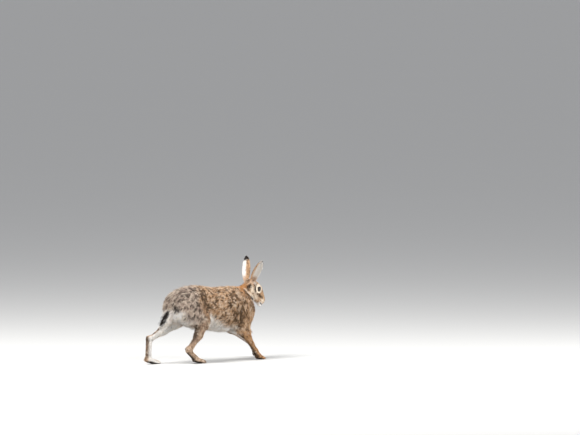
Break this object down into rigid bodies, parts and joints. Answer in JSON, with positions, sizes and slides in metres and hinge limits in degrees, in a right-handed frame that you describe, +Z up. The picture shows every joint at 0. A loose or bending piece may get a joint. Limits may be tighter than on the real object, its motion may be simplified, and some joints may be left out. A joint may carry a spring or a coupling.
{
  "type": "brown hare",
  "caption": "Life-size still brown hare striding on all fours, head turned down, ears raised, hind leg stretched back.",
  "frame": {"origin": "on the floor under the middle of the bounding box", "axes": "+X ahead of the hare, +Y to its left, +Z up"},
  "size_m": [0.542, 0.1502, 0.3599],
  "materials": {
    "coat_back": "short dense fur, grizzled black, brown and cream, greyer on the rump and thighs",
    "coat_neck": "soft orange-brown fur, paler at the throat",
    "coat_head": "very short fur, brown with pale rings round the eyes and a pale cheek",
    "coat_tail": "fluffy white fur with a black stripe on top",
    "coat_ear": "thin skin with very short fur, white and tan behind, grey inside, black at the tip",
    "coat_leg": "short tan fur lying flat, white on the inner sides",
    "eye": "wet glossy eye, amber-brown iris round a large dark pupil"
  },
  "bodies": {
    "root": {"trunk": "coat_back", "neck": "coat_neck", "head": "coat_head", "tail": "coat_tail", "ear_left": "coat_ear", "ear_right": "coat_ear", "eye_left": "eye", "eye_right": "eye", "thigh_left": "coat_back", "thigh_right": "coat_back", "shank_left": "coat_leg", "shank_right": "coat_leg", "hind_foot_left": "coat_leg", "hind_foot_right": "coat_leg", "shoulder_left": "coat_back", "shoulder_right": "coat_back", "forearm_left": "coat_leg", "forearm_right": "coat_leg", "forefoot_left": "coat_leg", "forefoot_right": "coat_leg"}
  },
  "joints": []
}
